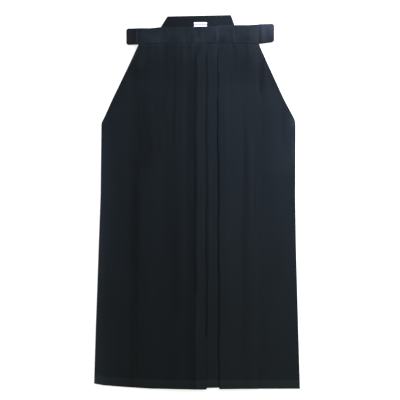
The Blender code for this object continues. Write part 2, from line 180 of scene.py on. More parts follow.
def read(rows, at, column):
    """Reads a column of a table at places in its first column, in straight lines between its rows."""
    points = sorted((row[0], getattr(row, column)) for row in rows)
    return np.interp(at, *zip(*points))


def edge_x(edge, y):
    """Where an edge of a ply lies at heights y."""
    y = np.asarray(y, dtype=float)
    if isinstance(edge, float):
        return np.full_like(y, edge)
    if edge in FOLD_LINES:
        line = FOLD_LINES[edge]
        down = np.clip((WAIST_Y - y) / (WAIST_Y - HEM_Y), 0.0, 1.0)
        return line.waist_x + (line.hem_x - line.waist_x) * down
    kind, side = edge.rsplit("_", 1)
    outline, inset = {
        "side": (OUTLINE, 0.0),
        "back_side": (BACK_OUTLINE, BACK_INSET),
        "board": (BOARD, -SEAM_GAP),
    }[kind]
    return read(outline, y, side) + (inset if side == "left" else -inset)


# Folds that are pressed flat or hidden, where a ply thins out both ways from its edge: how far through
# the change the edge itself is, from 0 to 1.
PRESSED = {"outer_left": 0.35, "outer_right": 0.45}
PRESSED.update({f"{fold}_{side}_hidden": 0.5 for fold in ("outer", "inner") for side in SIDES})
PRESSED_IF_SEWN = 0.4
PRESSED_WIDTH = 0.026
SEWN_FOLDS = ("inner_left", "centre", "inner_right")  # pressed flat only near the waistband
SEWN_FROM_Y, SEWN_TO_Y = 0.32, 0.39
THIN_EDGES = {"inner_right": 0.66}  # how thick a ply is at a fold that is pressed but sharp
THIN_WIDTH = 0.016

# A panel is laid in runs from fold to fold. Spacing is that of its grid: in front, at the back or hidden.
# Over gives the order in which the front's runs lie on each other. The last column is painted light
# and shade: how much lighter or darker each run's dye is made.
Run = namedtuple("Run", "layer starts ends shorter spacing over tone")
FINE, BACK, PLAIN = 0.002, 0.004, 0.0075
PANELS = {
    "front_left": (
        Run("front_left_0", "side_left", "outer_left_hidden", 0.0, FINE, 3, 1.0),
        Run("front_left_1", "outer_left_hidden", "outer_left", 0.0, PLAIN, 5, 1.0),
        Run("front_left_2", "outer_left", "inner_left", 0.0, FINE, 10, 0.9),
        Run("front_left_3", "inner_left", "inner_left_hidden", 0.001, PLAIN, 9, 1.0),
        Run("front_left_4", "inner_left_hidden", "centre", 0.0, FINE, 6, 1.12),
        Run("front_left_5", "centre", "seam_left", 0.003, PLAIN, 4, 1.0),
    ),
    "front_right": (
        Run("front_right_4", "side_right", "outer_right_hidden", 0.0, FINE, 2, 1.0),
        Run("front_right_3", "outer_right_hidden", "outer_right", 0.0, PLAIN, 8, 1.0),
        Run("front_right_2", "outer_right", "inner_right", 0.0, FINE, 11, 1.06),
        Run("front_right_1", "inner_right", "inner_right_hidden", 0.002, PLAIN, 7, 1.0),
        Run("front_right_0", "inner_right_hidden", "seam_right", 0.0043, FINE, 1, 1.12),
    ),
    **{
        f"back_{side}": (
            Run("back_outside", f"back_side_{side}", f"back_fold_{side}", BACK_SHORTER, BACK, 0, 1.0),
            Run("back_underfold", f"back_fold_{side}", f"outer_{side}_hidden", 0.004, PLAIN, 0, 1.0),
            Run("back_inside", f"outer_{side}_hidden", f"seam_{side}", 0.005, PLAIN, 0, 1.0),
        )
        for side in SIDES
    },
}

# The plies of the whole garment, each over all of those before it.
Layer = namedtuple("Layer", "name left right low high pitch soft_low soft_high")
PLY = CLOTH + LAYER_GAP
TIE_PLY = TIE_CLOTH + LAYER_GAP
FAR = 0.1
BELOW_HEM, ABOVE_ALL = HEM_Y - FAR, BOARD_TOP_Y + FAR
SOFT_END = 0.01
GUSSET_SIDES = ("inner_left_soft", "inner_right")


def panel_layer(name, left, right, top=PANEL_TOP_Y):
    return Layer(name, left, right, BELOW_HEM, top, PLY, SOFT_END, SOFT_ABOVE_PANELS)


def front_layer(run):
    """The ply that a run of a front panel makes."""
    left, right = sorted((run.starts, run.ends), key=lambda edge: float(edge_x(edge, WAIST_Y)))
    return panel_layer(run.layer, left, right)


def waist_layer(name, left, right, low, pitch):
    return Layer(name, left, right, low, ABOVE_ALL, pitch, SOFT_BELOW_BAND, SOFT_END)


def tie_layer(name, tie, inner):
    left, right = sorted((tie.fold_x, inner))
    return waist_layer(name, left, right, tie.low, TIE_PLY)


FRONT_RUNS = PANELS["front_left"] + PANELS["front_right"]
LAYERS = (
    panel_layer("back_outside", "side_left", "side_right", WAIST_Y),
    *(tie_layer(f"back_tie_{side}_0", BACK_TIES[side], getattr(BOARD[0], side)) for side in SIDES),
    panel_layer("back_underfold", "outer_left_hidden", "outer_right_hidden", WAIST_Y),
    panel_layer("back_inside", "outer_left_hidden", "outer_right_hidden", WAIST_Y),
    Layer("gusset", *GUSSET_SIDES, CROTCH_BOTTOM_Y, CROTCH_TOP_Y, PLY, SOFT_CROTCH, SOFT_CROTCH),
    waist_layer("board", BOARD[0].left, BOARD[0].right, BOARD[0].y, BOARD_THICK + LAYER_GAP),
    waist_layer("label", LABEL.left, LABEL.right, LABEL.y, LABEL_THICK + LAYER_GAP),
    *(tie_layer(f"back_tie_{side}_1", BACK_TIES[side], BACK_TIES[side].hidden_x) for side in SIDES),
    *(tie_layer(f"front_tie_{side}_0", FRONT_TIES[side], FRONT_TIES[side].hidden_x) for side in SIDES),
    waist_layer("band_back", BAND[0].x, BAND[-1].x, BAND[0].low, TIE_PLY),
    *(front_layer(run) for run in sorted(FRONT_RUNS, key=lambda run: run.over)),
)
ORDER = {layer.name: place for place, layer in enumerate(LAYERS)}
ORDER["top"] = len(LAYERS)


def cover(layer, x, y):
    """How much of a ply lies under points: 1 inside its edges, fading to 0 outside them."""
    past_end = np.maximum((layer.low - y) / layer.soft_low, (y - layer.high) / layer.soft_high)
    share = ease(1 - np.maximum(past_end, 0))
    soft_side = SOFT_SIDE + SOFT_SIDE_PER_STEP * layer.pitch
    for edge, way in ((layer.left, 1), (layer.right, -1)):
        inside = way * (x - edge_x(edge, y))
        flat = ease(PRESSED.get(edge, PRESSED_IF_SEWN) + inside / (2 * PRESSED_WIDTH))
        full = ease(1 - np.maximum(-inside - SPREAD, 0) / soft_side)
        thin = 1 - (1 - THIN_EDGES.get(edge, 1.0)) * ease(1 - inside / THIN_WIDTH)
        if edge in PRESSED:
            full = flat
        if edge in SEWN_FOLDS:
            full = full + (flat - full) * ease((y - SEWN_FROM_Y) / (SEWN_TO_Y - SEWN_FROM_Y))
        share = share * full * thin
    return share


# A soft ridge to the right of a fold's line, in the plies from one up to another: it leaves a dark groove
# at the fold. Millimetres.
FoldRidge = namedtuple("FoldRidge", "line beside wide rise top_y ply up_to waver")
FOLD_RIDGES = table(
    FoldRidge,
    ("outer_left", -1.0, 9.0, 1.12, 440, "front_left_0", "front_left_0", 0.0),
    ("outer_right", 1.0, 6.0, 0.3, 440, "front_right_4", "front_right_4", 0.0),
    ("inner_left", 2.2, 4.4, 0.8, 384, "front_left_4", "top", 0.4),
    ("centre", 2.4, 4.6, 0.7, 390, "front_right_0", "top", 3.0),
    ("inner_right", 4.8, 5.0, 0.82, 396, "front_right_1", "top", 5.1),
)
RIDGE_MEAN, RIDGE_WAVER, RIDGE_LENGTHS = 0.8, 0.28, (0.017, 0.049)
FADE = 0.03  # over this length a ridge, or a shade in the dye, fades out at its ends


def pile(place, x, y):
    """The height of the underside of the ply with this place, before creases."""
    total = np.zeros(np.broadcast(x, y).shape)
    for layer in LAYERS[:place]:
        total += layer.pitch * cover(layer, x, y)
    for ridge in FOLD_RIDGES:
        if ORDER[ridge.ply] <= place <= ORDER[ridge.up_to]:
            aside = (x - edge_x(ridge.line, y)) / MM - ridge.beside
            short, long = RIDGE_LENGTHS
            waver = np.sin(y / short + ridge.waver) * np.sin(y / long + 2 * ridge.waver)
            uneven = RIDGE_MEAN + RIDGE_WAVER * waver
            fade = ease((ridge.top_y * MM - y) / FADE)
            total += ridge.rise * MM * np.exp(-((aside / ridge.wide) ** 2)) * uneven * fade
    return total


# ---- creases

# A crease runs from one point to another as a soft ridge, or as a trough where its rise is below 0.
# Wide is its half width. Millimetres.
Crease = namedtuple("Crease", "x0 y0 x1 y1 wide rise")
CREASES = table(
    Crease,
    # gathers under the waistband
    (-136, 396, -146, 330, 5, 0.5), (-108, 420, -107, 362, 4, -0.3), (-97, 410, -94, 350, 6, 0.3),
    (-70, 396, -74, 330, 6, 0.4), (-45, 400, -45, 350, 4, -0.4), (-35, 398, -33, 340, 6, 0.25),
    (-14, 398, -13, 352, 4, 0.4), (62, 396, 64, 345, 5, 0.4), (88, 420, 88, 360, 4, -0.4),
    (98, 400, 101, 342, 6, 0.25), (119, 420, 120, 356, 4, -0.45), (131, 400, 134, 340, 6, 0.3),
    # left leg, inside the outer pleat
    (-61, 326, -64, 96, 5, -0.35), (-53, 300, -55, 110, 6, 0.3), (-30, 262, -31, 150, 4, -0.15),
    (-38, 250, -39, 60, 6, 0.12), (-77, 280, -78, 216, 7, 0.5), (-89, 176, -90, 132, 6, 0.5),
    (-107, 252, -108, 226, 7, -0.6), (-120, 152, -121, 124, 7, -0.6),
    (-112, 215, -118, 60, 10, 0.3), (-94, 90, -98, -70, 11, -0.25), (-47, 20, -50, -160, 12, 0.3),
    (-78, -60, -80, -300, 12, 0.25), (-112, -200, -116, -430, 12, 0.3),
    (-36, -220, -38, -440, 10, -0.25), (-142, 60, -147, -250, 9, 0.35),
    # left leg, outside the outer pleat
    (-157, -60, -163, -420, 8, -0.6), (-158, 90, -160, -80, 9, -0.8),
    (-150, 210, -156, 100, 8, -0.35), (-172, 330, -165, 280, 7, -0.55),
    (-180, 322, -176, 270, 7, 0.45), (-206, 220, -214, 120, 12, 0.35),
    (-228, 118, -196, 62, 8, 0.4), (-222, 84, -190, 20, 7, -0.35), (-232, 20, -208, -30, 9, 0.3),
    (-212, -60, -216, -260, 14, 0.35), (-190, -200, -196, -420, 12, 0.3),
    (-236, -120, -241, -380, 8, -0.3),
    # the strips beside the centre
    (13, 330, 13, 210, 4, 0.25), (12, 60, 12, -90, 4, 0.25), (38, 250, 38, 120, 4, 0.25),
    (37, -60, 38, -240, 4, -0.25),
    # right leg, inside the outer pleat
    (78, 330, 80, 236, 7, -0.3), (70, 250, 71, 90, 8, 0.3), (94, 190, 95, 20, 9, 0.3),
    (116, 205, 113, -30, 7, -0.6), (113, -20, 112, -240, 8, -0.45),
    (112, -230, 111, -460, 8, -0.35), (129, 160, 129, 50, 7, 0.5), (129, 60, 128, -180, 7, 0.4),
    (148, 300, 149, 180, 5, 0.45), (143, 140, 142, -60, 4, -0.35), (80, -120, 81, -340, 12, 0.25),
    (96, -320, 97, -450, 10, 0.25),
    # right leg, outside the outer pleat
    (161, 356, 160, 256, 5, -0.8), (170, 348, 174, 262, 6, 0.6), (163, 250, 160, 20, 6, -0.4),
    (213, 230, 214, 150, 7, -0.7), (224, 236, 226, 140, 7, 0.55), (192, 190, 194, 10, 11, 0.3),
    (178, 20, 180, -170, 10, -0.25), (212, 30, 214, -180, 12, 0.3), (238, -30, 240, -250, 9, 0.35),
    (188, -180, 189, -390, 11, 0.3), (222, -260, 224, -450, 11, -0.3),
)
# Slow waves over the whole garment, with their wavelengths. Millimetres.
Wave = namedtuple("Wave", "across along shift rise")
WAVES = table(Wave, (61, 540, 0.4, 0.07), (97, -760, 2.1, 0.12), (43, 910, 4.0, 0.04), (173, 330, 1.2, 0.14))
FULL_LIFT = 0.003  # plies this high above the floor follow the creases fully
DEEPEST = 0.0008
# A crease starts narrow and widens along its length, winds a little, and fades in and out at its ends.
NARROW, WIDENS = 0.75, 0.5
WINDING, WINDS = 0.25, 5.0
FADING_SHARE = 0.7

HEM_EASE = 0.05  # how far up a shorter ply is drawn up at the hem
# Folds aren't quite straight: how far they sway, how long the sway is, and how it shifts across the cloth.
Sway = namedtuple("Sway", "size length shift lean")
SWAYS = (Sway(0.0008, 0.043, 0.6, 0.0), Sway(0.0005, 0.0163, 0.0, 30.0))
SWAY_IN, SWAY_TOP_Y, SWAY_EASE = 0.03, 0.385, 0.06
TURNED_UP, TURN_EASE = 0.0004, 0.002  # how much the turned-up hem lifts the cloth


def relief(x, y, creases):
    """How far creases lift the cloth at points, in metres."""
    total = np.zeros(np.broadcast(x, y).shape)
    for crease in creases:
        start = np.array([crease.x0, crease.y0]) * MM
        along = np.array([crease.x1, crease.y1]) * MM - start
        length = np.hypot(*along)
        along = along / length
        ahead = (x - start[0]) * along[0] + (y - start[1]) * along[1]
        aside = (x - start[0]) * along[1] - (y - start[1]) * along[0]
        wide = crease.wide * MM * (NARROW + WIDENS * np.clip(ahead / length, 0, 1))
        wander = WINDING * wide * np.sin(ahead / length * WINDS + crease.x0)
        across = np.exp(-(((aside - wander) / wide) ** 2))
        fading = FADING_SHARE * length
        fade = ease(0.5 + ahead / fading) * ease(0.5 + (length - ahead) / fading)
        total += crease.rise * MM * across * fade
    for wave in WAVES:
        phase = 2 * math.pi * (x / (wave.across * MM) + y / (wave.along * MM)) + wave.shift
        total += wave.rise * MM * np.sin(phase)
    return np.maximum(total, -DEEPEST)


def pressed(z, x, y, creases):
    """The height of a point of cloth once creased: plies near the floor follow only in part."""
    return z + relief(x, y, creases) * np.clip(z / FULL_LIFT, 0, 1)


def at_hem(x, y, shorter):
    rise = read(HEM_RISE, x, "rise")
    near = ease((HEM_RISE_FROM_Y - y) / (HEM_RISE_FROM_Y - HEM_Y))
    return y + rise * near + shorter * ease((HEM_Y + HEM_EASE - y) / HEM_EASE)


def settle(x, y, z, shorter=0.0):
    """Where points of the trouser cloth come to lie, once creased, hemmed and not quite straight."""
    inside = np.minimum(x - edge_x("side_left", y), edge_x("side_right", y) - x)
    free = ease(inside / SWAY_IN) * ease((SWAY_TOP_Y - y) / SWAY_EASE)
    aside = (sway.size * np.sin(y / sway.length + sway.shift + sway.lean * x) for sway in SWAYS)
    turned_up = TURNED_UP * ease((HEM_Y + HEM_HEIGHT - y) / TURN_EASE) * np.clip(z / FULL_LIFT, 0, 1)
    lifted = pressed(z, x, y, CREASES) + turned_up
    return np.stack([x + free * sum(aside), at_hem(x, y, shorter), lifted], axis=2)


# ---- sheets

SMOOTH_CLOTH, SMOOTH_THREAD = math.radians(50), math.radians(70)


def select(*pieces):
    """Selects these pieces only, and makes the first active."""
    bpy.ops.object.select_all(action="DESELECT")
    for piece in pieces:
        piece.select_set(True)
    bpy.context.view_layer.objects.active = pieces[0] if pieces else None


def rename(piece, name):
    piece.name = name
    piece.data.name = name


def apply_modifier(piece, kind, **settings):
    select(piece)
    modifier = piece.modifiers.new(kind.title(), kind)
    for key, value in settings.items():
        setattr(modifier, key, value)
    bpy.ops.object.modifier_apply(modifier=modifier.name)


def carry(piece, node):
    """The piece goes with the garment, in place of one of its solids."""
    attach(piece, "root")
    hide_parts(node)


def steps(length, spacing):
    return np.linspace(0.0, 1.0, max(int(round(length / spacing)), 2) + 1)


def plan(start, end, share, y):
    """The x and y of points in rows that run from start to end, by row and column."""
    x = start[:, None] + (end - start)[:, None] * share
    return x, np.broadcast_to(y[:, None], x.shape)


def gaps(points, axis):
    """How far apart points are: each from the next row, or from the next column."""
    return np.linalg.norm(np.diff(points, axis=axis), axis=2)


def lay_grid(name, points, thick, material, tone=1.0):
    """A sheet of cloth: a grid whose points, by row and column, are laid in place, and given a thickness.

    Its UV map holds metres along the cloth, so that a weave follows the folds. It carries painted light and
    shade in an attribute, by row and column: how much lighter or darker its dye is made.
    """
    rows, columns = points.shape[:2]
    select()
    bpy.ops.mesh.primitive_grid_add(x_subdivisions=columns - 1, y_subdivisions=rows - 1, size=1.0)
    piece = bpy.context.object
    rename(piece, name)
    piece.data.vertices.foreach_set("co", points.reshape(-1))
    metres = np.zeros((rows, columns, 2))
    metres[:, 1:, 0] = np.cumsum(gaps(points, 1), axis=1)
    metres[1:, :, 1] = np.cumsum(gaps(points, 0), axis=0)
    where = np.zeros(len(piece.data.loops), dtype=int)
    piece.data.loops.foreach_get("vertex_index", where)
    piece.data.uv_layers[0].data.foreach_set("uv", metres.reshape(-1, 2)[where].reshape(-1))
    nap = piece.data.attributes.new("tone", "FLOAT", "POINT")
    nap.data.foreach_set("value", np.broadcast_to(tone, (rows, columns)).astype(np.float32).reshape(-1))
    piece.data.update()
    piece.data.materials.append(material)
    apply_modifier(piece, "SOLIDIFY", thickness=thick, offset=0.0, use_even_offset=False)
    bpy.ops.object.shade_smooth_by_angle(angle=SMOOTH_CLOTH)
    return piece


FOLD_INSET = CLOTH + LAYER_GAP / 2
TURN_ANGLES = np.radians((-60.0, -30.0, 0.0, 30.0, 60.0))
GATHERS_Y, WAIST_ROW, LEG_ROW = 0.33, 0.0035, 0.008  # a panel's rows are closer above GATHERS_Y
HEM_ROWS_FROM, HEM_ROWS, HEM_ROW_GAP = 0.042, 15, 0.003
OPENING_EASE = 0.008
# Below the side opening a front's edge curls down to the floor, in these shares of its height. Above it
# the edge is a little wider.
EDGE_DROPS = np.array([1.0, 0.66, 0.33, 0.06])
EDGE_CURL, EDGE_IN = 0.0008, 0.0009


def panel_rows(top_y):
    """The heights of a panel's rows: close together at the waist and the hem."""
    near_waist = np.arange(top_y, GATHERS_Y, -WAIST_ROW)
    legs = np.arange(GATHERS_Y, HEM_Y + HEM_ROWS_FROM + HEM_ROW_GAP, -LEG_ROW)
    near_hem = np.linspace(HEM_Y + HEM_ROWS_FROM, HEM_Y, HEM_ROWS)
    return np.concatenate([near_waist, legs, near_hem])


def run_columns(run, y, folds_at_start, folds_at_end):
    """The points of one run of a panel: x, y and height, by row and column."""
    start, end = edge_x(run.starts, y), edge_x(run.ends, y)
    way = np.sign(end[0] - start[0])
    start = start + way * FOLD_INSET * folds_at_start
    end = end - way * FOLD_INSET * folds_at_end
    x, rows = plan(start, end, steps(abs(end[-1] - start[-1]), run.spacing), y)
    return np.stack([x, rows, pile(ORDER[run.layer], x, rows) + SHEET / 2], axis=2)


def turn_over(x, y, before, after, reach):
    """The points round a fold, from one height to another: from x it reaches out to its edge."""
    middle, half = (before + after) / 2, (after - before) / 2
    turn = [(x + reach * math.cos(angle), y, middle + half * math.sin(angle)) for angle in TURN_ANGLES]
    return np.stack([np.stack(point, axis=1) for point in turn], axis=1)


def panel_points(runs, y):
    """A whole panel laid along its pleats, before creases: its runs, and the turns between."""
    blocks = []
    for number, run in enumerate(runs):
        block = run_columns(run, y, number > 0, number < len(runs) - 1)
        if blocks:
            x, _, before = blocks[-1][:, -1].T
            out = edge_x(run.starts, y) - x
            reach = np.sign(out) * (np.abs(out) - CLOTH / 2)
            blocks.append(turn_over(x, y, before, block[:, 0, 2], reach))
        blocks.append(block)
    return blocks


def turn_side_down(block, y):
    """Below the side opening, the front's edge turns down to the back's, on the floor."""
    inward = 1 if block[0, 0, 0] < 0 else -1
    closed = ease((OPENING_BOTTOM_Y + OPENING_EASE - y) / OPENING_EASE)[:, None]
    block[:, 0, 0] += inward * CLOTH / 2
    edge = np.repeat(block[:, :1], len(EDGE_DROPS), axis=1)
    edge[:, :, 2] += (SHEET / 2 - edge[:, :, 2]) * EDGE_DROPS * closed
    edge[:, :, 0] += inward * (1 - closed) * (1 - EDGE_DROPS) * EDGE_CURL
    block[:, 0, 0] += inward * EDGE_IN
    return np.concatenate([edge, block], axis=1)


# Painted light and shade across the legs, the board and its label, and the waistband: how much lighter
# or darker the dye is made.
PaintedLightPoint = namedtuple("PaintedLightPoint", "x tone")
LEG_PAINTED_LIGHT = table(
    PaintedLightPoint, (-0.26, 2.6), (-0.248, 1.9), (-0.23, 1.3), (-0.19, 1.03), (-0.17, 0.96),
    (-0.15, 0.97), (-0.13, 1.0), (0.12, 1.0), (0.15, 1.1), (0.19, 1.26), (0.26, 1.5),
)
BOARD_PAINTED_LIGHT = table(PaintedLightPoint, (-0.1, 0.38), (-0.03, 0.43), (0.05, 1.13), (0.1, 1.08))
BAND_PAINTED_LIGHT = table(
    PaintedLightPoint, (-0.179, 1.6), (-0.15, 1.9), (-0.14, 2.0), (-0.13, 1.7), (-0.12, 1.2),
    (-0.105, 0.9), (-0.085, 1.06), (-0.07, 1.04), (-0.02, 0.92), (0.0, 0.94), (0.015, 1.36),
    (0.05, 1.72), (0.075, 1.68), (0.09, 1.46), (0.12, 1.14), (0.14, 0.9), (0.156, 1.02),
    (0.166, 1.42), (0.195, 1.85),
)
# Painted light: the waistband's top is lighter than its foot, the more so to the right, and the right tie's
# even more, where their rounded tops face the lamp.
BAND_TOP_PAINTED_LIGHT, BAND_LIGHTER_FROM_X, BAND_LIGHTER_EASE = 0.95, -0.06, 0.12
TIE_TOP_PAINTED_LIGHT, TIE_LIGHTER_FROM_X, TIE_LIGHTER_EASE = 1.0, 0.125, 0.035
BAND_FOOT_Y, BAND_RISE = 0.4, 0.042
# Over the legs the dye is made lighter in the hem and low down, and just under the waistband's left half as
# painted light over the waistband's shadow.
LEG_PAINTED_FROM_Y, LEG_PAINTED_EASE = 0.2, 0.15
HEM_LIGHTER, HEM_TONE_UP, HEM_TONE_EASE = 0.55, 0.001, 0.003
LOW_LIGHTER, LOW_FROM_Y, LOW_EASE = 0.1, -0.25, 0.2
UNDER_BAND_PAINTED_LIGHT, UNDER_BAND, UNDER_BAND_WIDE, UNDER_BAND_TO_X = 0.3, 0.0015, 0.003, 0.02

# Painted shade, a darker dye along a fold like a shadow, or painted light where dark is below 0: how far to
# the right of the fold, and from which height down to which. Millimetres.
PaintedFoldShade = namedtuple("PaintedFoldShade", "beside wide dark high low")
PAINTED_FOLD_SHADES = {
    "outer_left": (
        (2.0, 14.0, -0.9, 430, 325), (0.6, 1.5, -0.8, 400, 170), (0.2, 1.8, -1.1, 190, 60),
        (0.4, 1.6, -0.55, 80, -480), (-11.0, 9.0, 0.22, 60, -480), (-12.0, 10.0, 0.3, 125, -170),
        (20.0, 40.0, 0.22, 300, 70),
    ),
    "inner_left": (
        (-16.0, 9.0, -0.25, 400, 285), (-8.0, 6.0, -0.28, 120, -10), (-0.5, 1.9, 0.9, 396, -250),
        (-0.5, 1.7, 0.5, -235, -480), (4.8, 2.6, 0.5, 415, -240), (9.0, 9.0, 0.3, 430, 350),
    ),
    "centre": (
        (-10.0, 50.0, -0.22, 430, 335), (-0.5, 2.0, 0.9, 386, -360), (4.6, 2.4, 0.45, 330, -200),
    ),
    "inner_right": (
        (-0.9, 2.0, -1.3, 410, 350), (-0.2, 2.2, -1.5, 365, 235), (-1.1, 2.0, -0.75, 255, -480),
        (2.0, 1.7, 0.4, 170, -480), (10.0, 38.0, -0.22, 430, 310),
    ),
    "side_left": (
        (3.0, 5.0, -1.2, 395, 335), (8.0, 22.0, -0.14, 250, -150), (8.0, 22.0, -0.13, 250, -205),
        (8.0, 22.0, -0.12, 250, -260),
    ),
    "side_right": (
        (-20.0, 45.0, -0.38, 300, 60), (-2.0, 10.0, -3.0, 222, 176), (-7.0, 2.5, -0.8, 190, 90),
    ),
    "outer_right": (
        (5.0, 4.2, 0.75, 372, 262), (-1.0, 2.5, 0.3, 300, 60), (0.0, 3.0, -0.12, 230, -480),
    ),
}


# Painted light and shade over a panel: how much lighter or darker its dye is made at points.
def cloth_painted_light(x, y, run_painted_light):
    hem = HEM_LIGHTER * ease((HEM_Y + HEM_HEIGHT + HEM_TONE_UP - y) / HEM_TONE_EASE)
    legs = np.clip((LEG_PAINTED_FROM_Y - y) / LEG_PAINTED_EASE, 0, 1)
    tone = run_painted_light * (1 + (read(LEG_PAINTED_LIGHT, x, "tone") - 1) * legs) * (1 + hem)
    tone = tone * (1 + LOW_LIGHTER * np.clip((LOW_FROM_Y - y) / LOW_EASE, 0, 1))
    below_band = (read(BAND, x, "low") - y - UNDER_BAND) / UNDER_BAND_WIDE
    tone = tone * (1 + UNDER_BAND_PAINTED_LIGHT * np.exp(-(below_band**2)) * ease(1 - x / UNDER_BAND_TO_X))
    for line, shades in PAINTED_FOLD_SHADES.items():
        from_fold = (x - edge_x(line, y)) / MM
        for shade in table(PaintedFoldShade, *shades):
            aside = (from_fold - shade.beside) / shade.wide
            ends = ease((shade.high * MM - y) / FADE) * ease((y - shade.low * MM) / FADE)
            tone = tone * (1 - shade.dark * np.exp(-(aside**2)) * ends)
    return tone


def make_panel(name, top_y, material):
    y = panel_rows(top_y)
    runs = PANELS[name]
    blocks = panel_points(runs, y)
    if name.startswith("front"):
        blocks[0] = turn_side_down(blocks[0], y)
    columns = [block.shape[1] for block in blocks]
    owners = [runs[(place + 1) // 2] for place in range(len(blocks))]  # a turn goes with the run after it
    shorter = np.repeat([run.shorter for run in owners], columns)
    painted_lights = np.repeat([run.tone for run in owners], columns)
    x, rows, z = np.moveaxis(np.concatenate(blocks, axis=1), 2, 0)
    laid = settle(x, rows, z, shorter)
    tone = cloth_painted_light(x, rows, painted_lights)
    if laid[0, 0, 0] > 0:
        laid, tone = laid[:, ::-1], tone[:, ::-1]
    piece = lay_grid(name + "_cloth", laid[::-1], SHEET, material, tone[::-1])
    carry(piece, name)
    return piece


# ---- waistband and ties

# How far the waistband's lower edge is drawn down on to the pleats, and over what height and width.
SEWN_DOWN = PLY - SHEET + (TIE_CLOTH - BAND_SHEET) / 2 - SEAM_GAP
SEWN_HEIGHT, SEWN_FROM_END = 0.014, 0.02
BAND_COLUMNS, BAND_ROWS = 132, 21


# Painted light and shade on the waistband and ties: lighter and darker along them, lighter towards the top.
def band_painted_light(x, y):
    up = np.clip((y - BAND_FOOT_Y) / BAND_RISE, 0, 1) - 0.5
    lighter = BAND_TOP_PAINTED_LIGHT * ease((x - BAND_LIGHTER_FROM_X) / BAND_LIGHTER_EASE)
    lighter = lighter + TIE_TOP_PAINTED_LIGHT * ease((x - TIE_LIGHTER_FROM_X) / TIE_LIGHTER_EASE)
    return read(BAND_PAINTED_LIGHT, x, "tone") * (1 + lighter * up)


def lay_band(name, points, creases, material):
    """A sheet of the waistband's cloth, creased."""
    x, y = points[:, :, 0], points[:, :, 1]
    points[:, :, 2] = pressed(points[:, :, 2], x, y, creases)
    return lay_grid(name, points, BAND_SHEET, material, band_painted_light(x, y))


def make_waistband(material):
    """The waistband: a strip folded over the tops of the pleats."""
    x = np.linspace(BAND[0].x, BAND[-1].x, BAND_COLUMNS)
    low, high = read(BAND, x, "low"), read(BAND, x, "high") - TIE_CLOTH
    y = low + (high - low) * np.linspace(0.0, 1.0, BAND_ROWS)[:, None]
    sunk = SEWN_DOWN * ease(1 - (y - low) / SEWN_HEIGHT) * ease((BAND[-1].x - np.abs(x)) / SEWN_FROM_END)
    back_z = pile(ORDER["band_back"], x, y) + TIE_CLOTH / 2
    front_z = pile(ORDER["top"], x, y) + TIE_CLOTH / 2 - sunk
    back, front = (np.stack([np.broadcast_to(x, y.shape), y, z], axis=2) for z in (back_z, front_z))
    turn = turn_over(high, x, back_z[-1], front_z[-1], TIE_CLOTH / 2)[:, :, [1, 0, 2]].swapaxes(0, 1)
    points = np.concatenate([back, turn, front[::-1]])
    piece = lay_band("waistband_cloth", points, BAND_CREASES, material)
    carry(piece, "front_waistband")
    return piece


BAND_END_CREASES = table(
    Crease, (-153, 441, -153, 396, 4, 1.0), (-147, 441, -147, 396, 4, -0.75),
    (154, 434, 154, 400, 4, -0.75), (160, 434, 160, 400, 4, 0.9),
)
BAND_CREASES = BAND_END_CREASES + table(
    Crease, (-124, 438, -126, 398, 6, 0.15), (-102, 430, -102, 396, 2.5, 0.15),
    (-88, 440, -90, 402, 6, 0.15), (-78, 431, -75, 420, 5, 0.7), (-52, 438, -51, 398, 5, -0.15),
    (-36, 440, -37, 400, 5, 0.15), (-17, 428, -18, 392, 2.5, -0.5), (1, 428, 1, 394, 5, -0.5),
    (22, 436, 24, 398, 4, 0.15), (48, 430, 48, 404, 3, 0.8), (66, 440, 68, 400, 5, -0.1),
    (89, 434, 89, 398, 3, 0.8), (104, 444, 106, 400, 5, -0.15), (118, 442, 120, 400, 6, -0.2),
    (132, 444, 133, 402, 6, 0.35),
)
TIE_CREASES = BAND_END_CREASES + table(
    Crease, (-164, 434, -163, 402, 5, -0.2), (175, 442, 174, 408, 6, -0.5),
    (184, 442, 183, 408, 6, 0.7),
)


def tie_height(tie, x, y, flare):
    """How high points of a tie lie, once it slopes and widens; y is their height before that."""
    out = np.maximum(np.abs(x) - abs(tie.root_x), 0) if tie.root_x else 0 * x
    up = (y - tie.low) / (tie.high - tie.low)
    slope = tie.slope_low + (tie.slope_high - tie.slope_low) * up
    wider = TIE_FLARE * up * np.maximum(flare, np.clip(out / TIE_FLARE_OUT, 0, 1)) * (tie.slope_low > 0)
    return y + slope * out + wider


TIE_ROWS = 26
MIDDLE = 12  # the row along a tie's middle
TIE_COLUMN = 0.003
TUCK_EASE = 0.003  # how far outside the waistband a tucked tie comes up to its full height


